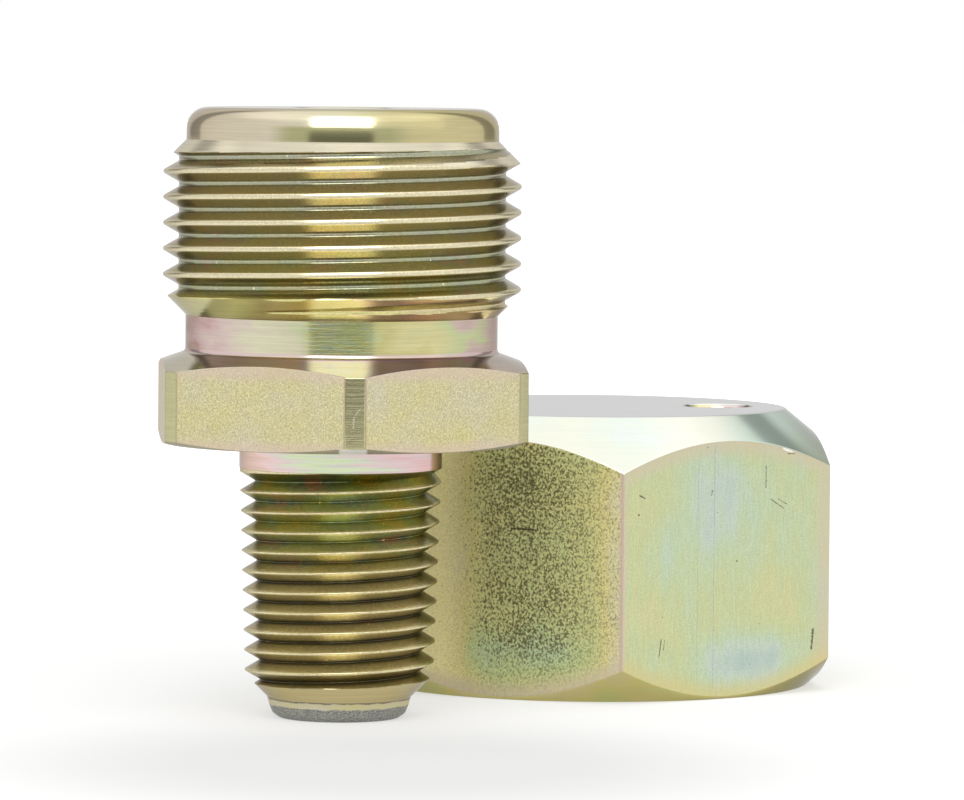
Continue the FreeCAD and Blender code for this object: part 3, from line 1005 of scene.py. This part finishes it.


# Of the milled sides, every second one is mottled with dark spots where the film has gone brown.
# It stays smooth and golden along its left edge, partly its own yellow and partly painted light, and
# its foot is a bluer green. Its whole ground is painted lighter too: painted light against the
# adapter's shade on this side.
mottled_plating, tree, place = new_plating("cap_mottled_plating")
flat, along, up, reach, first = on_side(tree, place, cap_turn - 120)
patch = noise(tree, stretch(tree, place, 1, 1, 0.8), 0.16, 4.0, 0.66)
density = add_all(tree, [
    (noise(tree, place, 3.0, 2.0), 0.10),
    (patch_at(tree, flat, 1.5, 15.0, 6.5, 6.0), 0.06),
    (patch_at(tree, flat, 3.0, 7.0, 6.5, 7.0), 0.04),
    (ramp(tree, along, -0.5, -4.5), -0.14),
    (ramp(tree, along, 6.5, 9.5), -0.02),
])
spots = ramp(tree, calculate(tree, "ADD", patch, density), 0.53, 0.65)
thickness = add_all(tree, [
    (patch_at(tree, flat, 1.5, 3.5, 8.0, 3.0), 0.12),
    (ramp(tree, along, -1.0, -4.5), -0.16),
    (ramp(tree, along, 7.0, 9.6), -0.20),
])
ground = film_on(tree, place, size=4.0, thickness=calculate(tree, "ADD", thickness, 0.365), spread=0.3)
# The golden left edge and the lift in the grain below are partly painted light.
ground = mix_colour(tree, ramp(tree, along, -2.5, -5.0, 0.0, 0.85), ground, (0.92, 0.83, 0.41, 1))
ground = darken(tree, ground, grain_on(tree, place, 0.1), 0.98, 1.38)
foot_gap = above_rim(tree, up, reach)
spot_strength = product(
    tree, ramp(tree, along, 4.0, 9.0, 0.92, 0.55), ramp(tree, foot_gap, 0.2, 4.5, 0.45, 1.0))
colour = mix_colour(tree, product(tree, spots, spot_strength), ground, (0.12, 0.10, 0.045, 1))
colour = mix_colour(tree, ramp(tree, foot_gap, 1.5, 0.2, 0.0, 0.7), colour, (0.70, 0.60, 0.42, 1))
edge = ramp(tree, calculate(tree, "ABSOLUTE", along), 9.2, 9.55)
colour = mix_colour(tree, edge, colour, (0.66, 0.52, 0.42, 1))
colour = mark_side(tree, colour, flat, first, [((0.8, 12.55), (2.7, 12.5), 0.11, (0.10, 0.08, 0.04))])
finish_plating(tree, colour, roughness=0.34, height=patch, relief=0.006, tint=milled_tint, metallic=0.15)

# The sides between them are drawn smooth, with upright bands of blue, green and yellow.
banded_plating, tree, place = new_plating("cap_banded_plating")
flat, along, up, reach, first = on_side(tree, place, cap_turn - 60)
brush = grain_on(tree, stretch(tree, place, 1, 1, 0.09), 0.13)
bands = noise(tree, stretch(tree, place, 1, 1, 0.3), 1.6, 3.0)
thickness = add_all(tree, [
    (patch_at(tree, flat, 1.2, 2.8, 7.5, 3.2), 0.24),
    (patch_at(tree, flat, -0.5, 14.5, 6.0, 5.5), 0.17),
    (patch_at(tree, flat, -5.8, 11.0, 2.5, 5.0), 0.08),
    (patch_at(tree, flat, -6.0, 6.0, 3.0, 4.0), -0.12),
    (patch_at(tree, flat, 5.0, 7.0, 4.0, 4.0), -0.12),
    (calculate(tree, "SUBTRACT", bands, 0.5), 0.28),
    (calculate(tree, "SUBTRACT", brush, 0.5), 0.03),
])
clouds = film_on(tree, place, size=5.0, thickness=calculate(tree, "ADD", thickness, 0.46), spread=0.2)
colour = mix_colour(tree, 0.32, clouds, (0.62, 0.63, 0.48, 1))
colour = darken(tree, colour, grain_on(tree, place, 0.1), 0.93, 1.08)
colour = darken(tree, colour, brush, 0.98, 1.05)
edge = calculate(tree, "MAXIMUM", ramp(tree, along, 7.6, 9.5), ramp(tree, along, -9.25, -9.5))
edge = calculate(tree, "MAXIMUM", edge, ramp(tree, below_crown(tree, up, reach), 1.6, 0.1))
colour = mix_colour(tree, product(tree, edge, 0.7), colour, (0.66, 0.56, 0.42, 1))
foot_edge = ramp(tree, above_rim(tree, up, reach), 1.6, 0.1, 0.0, 0.6)
colour = mix_colour(tree, foot_edge, colour, (0.70, 0.58, 0.26, 1))
dots = product(tree, pits_on(tree, place, 0.8, 0.07, 0.12), 0.6)
colour = mix_colour(tree, dots, colour, (0.20, 0.20, 0.14, 1))
dark = (0.18, 0.18, 0.13)
drawn_line = (0.38, 0.44, 0.42)
colour = mark_side(tree, colour, flat, first, [
    ((-1.3, 0.8), (-1.3, 18.6), 0.03, drawn_line),
    ((-2.8, 2.0), (-2.8, 17.6), 0.02, drawn_line),
    ((5.1, 18.22), (6.0, 17.92), 0.10, (0.98, 0.98, 0.96)),
    ((5.5, 17.82), (6.2, 17.80), 0.05, (0.22, 0.18, 0.12)),
    ((3.5, 15.4), (3.5, 17.0), 0.05, dark),
    ((4.0, 14.5), (5.2, 13.8), 0.05, dark),
    ((4.7, 14.5), (5.5, 14.1), 0.04, dark),
    ((-8.2, 15.2), (-7.7, 15.0), 0.07, dark),
    ((-6.3, 3.4), (-6.1, 4.7), 0.06, dark),
    ((-5.9, 3.9), (-5.8, 4.6), 0.05, dark),
    ((8.0, 3.3), (8.1, 4.7), 0.13, dark),
    ((-8.3, 13.8), (-8.25, 13.8), 0.09, dark),
    ((0.8, 10.1), (0.9, 10.1), 0.07, dark),
    ((-1.6, 15.0), (-1.5, 15.3), 0.07, dark),
])
finish_plating(tree, colour, roughness=0.26, height=brush, relief=0.002, tint=milled_tint)

for plating in (crown_plating, mottled_plating, banded_plating):
    cap_nut.data.materials.append(plating)
